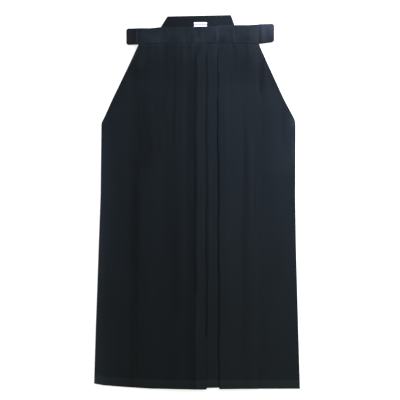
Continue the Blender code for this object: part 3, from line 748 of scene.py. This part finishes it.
def make_tie(node, tie, near_place, hidden_place, material):
    """A tie folded double: a near run out to its fold, and a hidden run back."""
    outward = 1 if tie.fold_x > 0 else -1
    y = tie.low + (tie.high - tie.low) * (1 - np.cos(np.linspace(0, math.pi, TIE_ROWS))) / 2
    corner = np.clip(1 - np.minimum(y - tie.low, tie.high - y) / TIE_CORNER, 0, 1)
    fold_x = tie.fold_x - outward * TIE_CORNER * (1 - np.sqrt(1 - corner**2))
    turn_x = fold_x - outward * (TIE_CLOTH + LAYER_GAP / 2)
    root_x = edge_x("board_right" if outward > 0 else "board_left", y)
    if tie.root_x:
        root_x = np.full_like(y, tie.root_x - outward * TIE_TUCK)

    def run(start, end, place, flare):
        x, rows = plan(start, end, steps(abs(end[MIDDLE] - start[MIDDLE]), TIE_COLUMN), y)
        return np.stack([x, tie_height(tie, x, rows, flare), pile(place, x, rows) + TIE_CLOTH / 2], axis=2)

    near = run(root_x, turn_x, near_place, 1.0)
    if tie.root_x:
        outside = np.abs(near[:, :, 0]) - abs(tie.root_x)
        near[:, :, 2] -= (BAND_SHEET + SEAM_GAP) * ease(1 - outside / TUCK_EASE)
    hidden = run(turn_x, np.full_like(y, tie.hidden_x), hidden_place, 0.0)
    turn_y = near[:, -1, 1] - np.sign(y - y.mean()) * corner**2 * BAND_SHEET / 2
    reach = outward * (TIE_CLOTH / 2 + LAYER_GAP / 2)
    turn = turn_over(turn_x, turn_y, near[:, -1, 2], hidden[:, 0, 2], reach)
    points = np.concatenate([near, turn, hidden], axis=1)
    piece = lay_band(f"{node}_cloth", points, TIE_CREASES, material)
    carry(piece, node)
    return piece


# ---- board, label, gusset

BOARD_CUTS, LABEL_CUTS, GUSSET_ROWS = (76, 26), (24, 18), 16
BOARD_ROUND = {"width": 0.0016, "segments": 4, "limit_method": "ANGLE", "angle_limit": math.radians(60)}


def make_plate(name, corners, low, thick, cuts, material):
    """A flat plate: a grid over four corners, given a thickness."""
    low_left, high_left, high_right, low_right = np.array([(*corner, low + thick / 2) for corner in corners])
    across = np.linspace(0, 1, cuts[0] + 1)[None, :, None]
    up = np.linspace(0, 1, cuts[1] + 1)[:, None, None]
    foot = low_left * (1 - across) + low_right * across
    top = high_left * (1 - across) + high_right * across
    points = foot * (1 - up) + top * up
    # Painted light and shade across the board and its label: darker to the left, lighter to the right.
    return lay_grid(name, points, thick, material, read(BOARD_PAINTED_LIGHT, points[:, :, 0], "tone"))


def make_board(material):
    piece = make_plate("board_cover", BOARD_CORNERS, 0.0, BOARD_THICK, BOARD_CUTS, material)
    apply_modifier(piece, "BEVEL", **BOARD_ROUND)
    carry(piece, "back_board")
    return piece


def make_label(material):
    low = BOARD_THICK + SEAM_GAP
    piece = make_plate("label_cloth", LABEL_CORNERS, low, LABEL_THICK, LABEL_CUTS, material)
    carry(piece, "label")
    return piece


def make_gusset(material):
    y = np.linspace(CROTCH_TOP_Y, CROTCH_BOTTOM_Y, GUSSET_ROWS)
    left, right = (edge_x(side, y) for side in GUSSET_SIDES)
    x, rows = plan(left, right, np.linspace(0, 1, GUSSET_ROWS), y)
    points = settle(x, rows, pile(ORDER["gusset"], x, rows) + SHEET / 2)[::-1]
    piece = lay_grid("gusset_cloth", points, SHEET, material)
    carry(piece, "crotch_gusset")
    return piece


# ---- stitching

THREAD = 0.0004
STITCH = 0.0028
STITCH_PITCH = 0.0034
FIRST_AT = 0.1  # where a row's first stitch starts, in pitches
FOLD_STEP = 0.0007  # no hem stitch bridges a fold that is higher than this
HEM_SEAM_UP = 0.0205
BAND_SEAM_IN, TIE_SEAM_IN, BOARD_SEAM_IN, LABEL_SEAM_IN = 0.002, 0.0025, 0.003, 0.001
HEM_SEAM_END, BAND_SEAM_END, TIE_SEAM_END = 0.003, 0.001, 0.004
HEM_SEAM_POINTS, BAND_SEAM_POINTS, TIE_SEAM_POINTS = 80, 60, 12
TACK_LENGTH, TACK_PITCH, TACK_IN = 0.012, 0.0007, 0.003
# A stitch is straight over part of its length, and sinks at both ends, where it thins out.
STITCH_SIDES, STRAIGHT, SINKING, SINKS, THINS, ENDWAYS = 6, 0.6, 0.2, 0.6, 0.6, 0.9
STEP = 0.002  # no other stitch bridges a higher step
CAST_FROM = 0.1  # higher than any cloth


def model_stitch(material):
    """One stitch of thread along X: round, and sinking into the cloth at both ends."""
    select()
    straight = STRAIGHT * STITCH
    bpy.ops.mesh.primitive_cylinder_add(
        vertices=STITCH_SIDES, radius=THREAD / 2, depth=straight, rotation=(0, math.pi / 2, 0)
    )
    bpy.ops.object.transform_apply(location=False, rotation=True, scale=False)
    stitch = bpy.context.object
    for way in (-1, 1):
        bpy.ops.object.mode_set(mode="EDIT")
        bpy.ops.mesh.select_all(action="DESELECT")
        bpy.ops.object.mode_set(mode="OBJECT")
        for face in stitch.data.polygons:
            face.select = face.normal.x * way > ENDWAYS
        bpy.ops.object.mode_set(mode="EDIT")
        sink = (way * SINKING * STITCH, 0, -SINKS * THREAD)
        bpy.ops.mesh.extrude_region_move(TRANSFORM_OT_translate={"value": sink})
        bpy.ops.transform.resize(value=(1, THINS, THINS))
        bpy.ops.object.mode_set(mode="OBJECT")
    bpy.ops.object.shade_smooth_by_angle(angle=SMOOTH_THREAD)
    stitch.data.materials.append(material)
    return stitch


def on_cloth(pieces, x, y, side):
    """The outer face of the cloth at a point of the plan: from above, or from below where side is -1."""
    start, way = Vector((x, y, side * CAST_FROM)), Vector((0, 0, -side))
    casts = [piece.ray_cast(start, way) for piece in pieces]
    places = [place for found, place, *_ in casts if found]
    return max(places, key=lambda place: side * place.z, default=None)


def row_of_stitches(path):
    """Where the stitches along a path start and end."""
    path = np.array(path, dtype=float)
    at = np.concatenate([[0.0], np.cumsum(np.hypot(*np.diff(path, axis=0).T))])
    count = int(at[-1] / STITCH_PITCH)
    first = (np.arange(count) + FIRST_AT) * at[-1] / count
    starts, ends = (
        np.stack([np.interp(places, at, path[:, axis]) for axis in (0, 1)], axis=1)
        for places in (first, first + STITCH)
    )
    return list(zip(starts, ends))


def inset_corners(corners, by):
    """The corners of a closed seam that runs inside an outline; the outline runs clockwise."""
    points = [Vector(corner) for corner in corners]
    inner = []
    for before, corner, after in zip(points[-1:] + points[:-1], points, points[1:] + points[:1]):
        arriving, leaving = (corner - before).normalized(), (after - corner).normalized()
        inner.append(corner + (arriving - leaving) * by / arriving.cross(leaving))
    return [*inner, inner[0]]


def sew(name, stitches, pieces, side, stitch, step=STEP):
    """Copies of one stitch laid on the cloth, joined into one piece; none bridges a higher step."""
    bpy.context.view_layer.update()
    copies = []
    for start, end in stitches:
        start, end = on_cloth(pieces, *start, side), on_cloth(pieces, *end, side)
        if start is None or end is None or abs(start.z - end.z) > step:
            continue
        copy = stitch.copy()
        copy.data = stitch.data.copy()
        along = (end - start).normalized()
        across = Vector((0, 0, side)).cross(along).normalized()
        turn = Matrix((along, across, along.cross(across))).transposed().to_4x4()
        copy.matrix_world = Matrix.Translation((start + end) / 2) @ turn
        scene.collection.objects.link(copy)
        copies.append(copy)
    select(*copies)
    bpy.ops.object.join()
    bpy.ops.object.transform_apply()
    piece = bpy.context.object
    rename(piece, name)
    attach(piece, "root")


def sew_hems(panels, stitch):
    for face, edge, shorter, side in (("front", "side", 0.0, 1), ("back", "back_side", BACK_SHORTER, -1)):
        y = HEM_Y + HEM_SEAM_UP
        left, right = (float(edge_x(f"{edge}_{end}", y)) for end in SIDES)
        x = np.linspace(left + HEM_SEAM_END, right - HEM_SEAM_END, HEM_SEAM_POINTS)
        seam = row_of_stitches(np.stack([x, at_hem(x, np.full_like(x, y), shorter)], axis=1))
        pieces = [panels[f"{face}_{end}"] for end in SIDES]
        sew(f"{face}_hem_stitching", seam, pieces, side, stitch, FOLD_STEP)


def sew_openings(panels, stitch):
    """A dense row of short stitches across the bottom of each side opening."""
    y = OPENING_BOTTOM_Y
    for end, inward in (("left", 1), ("right", -1)):
        across = edge_x(f"side_{end}", y) + inward * (TACK_IN + np.arange(0, TACK_LENGTH, TACK_PITCH))
        tack = [((x, y - STITCH / 2), (x, y + STITCH / 2)) for x in across]
        sew(f"{end}_opening_tack", tack, [panels[f"front_{end}"]], 1, stitch)


def sew_band(band, stitch):
    x = np.linspace(BAND[0].x + BAND_SEAM_END, BAND[-1].x - BAND_SEAM_END, BAND_SEAM_POINTS)
    rows = []
    for edge, inward in (("low", BAND_SEAM_IN), ("high", -BAND_SEAM_IN - TIE_CLOTH)):
        rows += row_of_stitches(np.stack([x, read(BAND, x, edge) + inward], axis=1))
    sew("waistband_stitching", rows, [band], 1, stitch)


def sew_ties(ties, stitch):
    for end, tie in FRONT_TIES.items():
        outward = 1 if tie.fold_x > 0 else -1
        ends = tie.root_x + outward * BAND_SEAM_END, tie.fold_x - outward * TIE_SEAM_END
        x = np.linspace(*ends, TIE_SEAM_POINTS)
        rows = []
        for y in (tie.low + TIE_SEAM_IN, tie.high - TIE_SEAM_IN):
            rows += row_of_stitches(np.stack([x, tie_height(tie, x, np.full_like(x, y), 1.0)], axis=1))
        sew(f"front_tie_{end}_stitching", rows, [ties[end]], 1, stitch)


def sew_board(board, stitch):
    seam = row_of_stitches(inset_corners(BOARD_CORNERS, BOARD_SEAM_IN))
    for face, side in (("front", 1), ("back", -1)):
        sew(f"board_{face}_stitching", seam, [board], side, stitch)


def sew_label(label, stitch):
    seam = row_of_stitches(inset_corners(LABEL_CORNERS, LABEL_SEAM_IN))
    sew("label_stitching", seam, [label], 1, stitch)


# ---- materials

NAVY = (0.0032, 0.0048, 0.006)
SHADED_NAVY = (0.0037, 0.0049, 0.005)  # painted shade towards the hem, where the bluish lamp falls off
# Painted light: the waistband's and board's dye is a little lighter than the legs', where they face the
# lamp.
LIT_BAND_NAVY = (0.0035, 0.0052, 0.0065)
# Painted light and shade: each tie's dye differs, the right one lighter and bluer where it catches the lamp.
LIT_TIE_NAVY = {"left": (0.004, 0.0047, 0.0049), "right": (0.0047, 0.006, 0.0082)}  # painted light
SHADED_FROM_Y, SHADED_TO_Y = 0.05, -0.38
THREAD_NAVY = [1.4 * part for part in NAVY]
THREAD_WHITE = (0.7, 0.71, 0.75)
LABEL_WHITE, LABEL_STRIPE = (0.86, 0.87, 0.9), (0.22, 0.22, 0.45)
WAVE = 0.314  # a wave texture's scale times its wavelength
WEAVE = 0.00075  # from rib to rib
STRIPE_SCALE, PLY_SCALE = 26.2, 6.0
RIB_TURN, THREAD_TURN = math.radians(63), math.radians(35)


def set_values(node, values):
    for socket, value in values.items():
        node.inputs[socket].default_value = value


def feed(tree, node, sources):
    """Links sources to inputs by name; a single source feeds the first input."""
    for socket, source in (sources if isinstance(sources, dict) else {0: sources}).items():
        tree.links.new(source, node.inputs[socket])


def new_material(name, values):
    """A material, its node tree and its shader, which is set to these values."""
    material = bpy.data.materials.new(name)
    material.use_nodes = True
    tree = material.node_tree
    shader = tree.nodes["Principled BSDF"]
    set_values(shader, values)
    return material, tree, shader


def add_node(tree, kind, output, sources, values=None, **settings):
    """One output of a new node, which others feed."""
    node = tree.nodes.new(f"ShaderNode{kind}")
    for key, value in settings.items():
        setattr(node, key, value)
    feed(tree, node, sources)
    set_values(node, values or {})
    return node.outputs[output]


def add_ramp(tree, source, *stops):
    """Colours that run from one stop to the next; a stop is a place and a colour."""
    ramp = tree.nodes.new("ShaderNodeValToRGB")
    feed(tree, ramp, source)
    for element, (place, colour) in zip(ramp.color_ramp.elements, stops):
        element.position = place
        element.color = (*colour, 1)
    return ramp.outputs["Color"]


def shades_of(colour, *stops):
    return [(place, [part * share for part in colour]) for place, share in stops]


def thread_material(name, colour):
    """Sewing thread: two twisted plies."""
    material, tree, shader = new_material(name, {"Roughness": 0.55, "Specular IOR Level": 0.25})
    uv = add_node(tree, "TexCoord", "UV", {})
    turned = add_node(tree, "Mapping", "Vector", uv, {"Rotation": (0, 0, THREAD_TURN)})
    plies = add_node(tree, "TexWave", "Fac", turned, {"Scale": PLY_SCALE})
    feed(tree, shader, {"Base Color": add_ramp(tree, plies, *shades_of(colour, (0.0, 0.7), (1.0, 1.2)))})
    return material


def cloth_material(name, colour, roughness):
    """Woven cloth: fine diagonal ribs along the UV map, cloudy dye, a soft sheen, and painted light and
    shade.
    """
    look = {
        "Sheen Weight": 0.01,
        "Sheen Roughness": 0.5,
        "Sheen Tint": (0.75, 0.85, 1.0, 1.0),
        "Specular IOR Level": 0.1,
        "Specular Tint": (0.84, 0.96, 1.0, 1.0),
    }
    material, tree, shader = new_material(name, look)
    uv, place = (add_node(tree, "TexCoord", output, {}) for output in ("UV", "Object"))
    turned = add_node(tree, "Mapping", "Vector", uv, {"Rotation": (0, 0, RIB_TURN)})
    weave = {"Scale": WAVE / WEAVE, "Distortion": 0.8, "Detail": 1.0}
    ribs = add_node(tree, "TexWave", "Fac", turned, weave)

    stretched = add_node(tree, "Mapping", "Vector", place, {"Scale": (2.0, 0.7, 1.0)})
    clouds = add_node(tree, "TexNoise", "Fac", stretched, {"Scale": 9.0, "Detail": 4.0})
    height = add_node(tree, "SeparateXYZ", "Y", place)
    legs = {"From Min": SHADED_FROM_Y, "From Max": SHADED_TO_Y}
    shaded_share = add_node(tree, "MapRange", "Result", height, legs)
    # Painted shade: towards the hem the dye turns greener and less blue, where the lamp's bluish light falls
    # off.
    new, shaded_dye = (
        add_ramp(tree, clouds, *shades_of(base, (0.34, 0.93), (0.66, 1.07))) for base in (colour, SHADED_NAVY)
    )
    dye = add_node(tree, "Mix", 2, {"Factor": shaded_share, 6: new, 7: shaded_dye}, data_type="RGBA")

    threads = add_node(tree, "MapRange", "Result", ribs, {"To Min": 0.8, "To Max": 1.15})
    # Painted light and shade, from the sheets' attribute, makes the dye lighter or darker.
    tone = add_node(tree, "Attribute", "Fac", {}, attribute_name="tone")
    light = add_node(tree, "Math", "Value", {0: threads, 1: tone}, operation="MULTIPLY")
    lit = add_node(tree, "VectorMath", "Vector", {0: dye, "Scale": light}, operation="SCALE")
    uneven = {"To Min": roughness - 0.05, "To Max": roughness + 0.05}
    gloss = add_node(tree, "MapRange", "Result", clouds, uneven)
    bump = add_node(tree, "Bump", "Normal", {"Height": ribs}, {"Strength": 0.25, "Distance": 0.0001})
    feed(tree, shader, {"Base Color": lit, "Roughness": gloss, "Normal": bump})
    return material


def label_material():
    """A woven label: white, with two lavender stripes across it."""
    material, tree, shader = new_material("label_weave", {"Roughness": 0.55, "Specular IOR Level": 0.3})
    uv = add_node(tree, "TexCoord", "UV", {})
    stripe = add_node(tree, "TexWave", "Fac", uv, {"Scale": STRIPE_SCALE}, bands_direction="Y")
    colours = add_ramp(tree, stripe, (0.78, LABEL_WHITE), (0.84, LABEL_STRIPE))
    feed(tree, shader, {"Base Color": colours})
    return material


# ---- stage

FLOOR_SIZE, FLOOR_Z = 9.0, -0.0005
LAMP_PLACE, LAMP_SIZE, LAMP_POWER, LAMP_COLOUR = (0.75, 0.75, 0.8), 0.9, 40.0, (0.94, 0.97, 1.26)
SKY_COLOUR, SKY_STRENGTH = (1.0, 1.0, 0.84, 1), 0.55
CAMERA_PLACE = (0.0066, 0.0056, 4.0)
FIELD = 1.0066  # the width the camera sees at the floor
SENSOR = 36.0
FARTHEST = 30.0


def make_floor():
    """A pale floor with a light of its own, as a light table has."""
    select()
    bpy.ops.mesh.primitive_plane_add(size=FLOOR_SIZE, location=(0, 0, FLOOR_Z))
    floor = bpy.context.object
    floor.name = "floor"
    look = {
        "Base Color": (0.5, 0.5, 0.5, 1),
        "Roughness": 0.9,
        "Specular IOR Level": 0.0,
        "Emission Color": (1.0, 1.0, 1.0, 1),
        "Emission Strength": 0.72,
    }
    floor.data.materials.append(new_material("floor_paint", look)[0])


def make_light():
    """An even sky, and one large lamp aimed at the middle of the garment."""
    world = bpy.data.worlds.new("studio")
    world.use_nodes = True
    set_values(world.node_tree.nodes["Background"], {"Color": SKY_COLOUR, "Strength": SKY_STRENGTH})
    scene.world = world
    light = bpy.data.lights.new("key", "AREA")
    light.shape = "SQUARE"
    light.size = LAMP_SIZE
    light.energy = LAMP_POWER
    light.color = LAMP_COLOUR
    lamp = bpy.data.objects.new("key", light)
    lamp.location = LAMP_PLACE
    lamp.rotation_euler = (-Vector(LAMP_PLACE)).to_track_quat("-Z", "Y").to_euler()
    scene.collection.objects.link(lamp)


def make_camera():
    """Straight above, upright to the garment, through a long lens."""
    camera = bpy.data.cameras.new("camera")
    camera.sensor_width = SENSOR
    camera.lens = SENSOR * CAMERA_PLACE[2] / FIELD
    camera.clip_end = FARTHEST
    holder = bpy.data.objects.new("camera", camera)
    holder.location = CAMERA_PLACE
    scene.collection.objects.link(holder)
    scene.camera = holder


# ---- all together

make_camera()
make_light()
make_floor()
scene.view_settings.view_transform = "Standard"

trouser_cloth = cloth_material("trouser_cloth_woven", NAVY, 0.66)
# The waistband's cloth is a lit copy of the trousers', and the ties have lit and shaded copies of their own.
lit_band_cloth = cloth_material("band_cloth_woven", LIT_BAND_NAVY, 0.62)
tie_cloth = {side: cloth_material(f"tie_cloth_{side}", LIT_TIE_NAVY[side], 0.62) for side in LIT_TIE_NAVY}
panels, front_ties = {}, {}
for side in SIDES:
    for face, top_y in (("front", PANEL_TOP_Y), ("back", WAIST_Y)):
        panels[f"{face}_{side}"] = make_panel(f"{face}_{side}", top_y, trouser_cloth)
    front, back = f"front_tie_{side}", f"back_tie_{side}"
    front_ties[side] = make_tie(front, FRONT_TIES[side], ORDER["top"], ORDER[front + "_0"], tie_cloth[side])
    make_tie(back, BACK_TIES[side], 0, ORDER[back + "_1"], tie_cloth[side])
make_gusset(trouser_cloth)
board = make_board(lit_band_cloth)
label = make_label(label_material())
waistband = make_waistband(lit_band_cloth)

navy_stitch = model_stitch(thread_material("navy_thread", THREAD_NAVY))
sew_hems(panels, navy_stitch)
sew_openings(panels, navy_stitch)
sew_band(waistband, navy_stitch)
sew_ties(front_ties, navy_stitch)
sew_board(board, navy_stitch)
white_stitch = model_stitch(thread_material("white_thread", THREAD_WHITE))
sew_label(label, white_stitch)
for stitch in (navy_stitch, white_stitch):
    bpy.data.objects.remove(stitch)
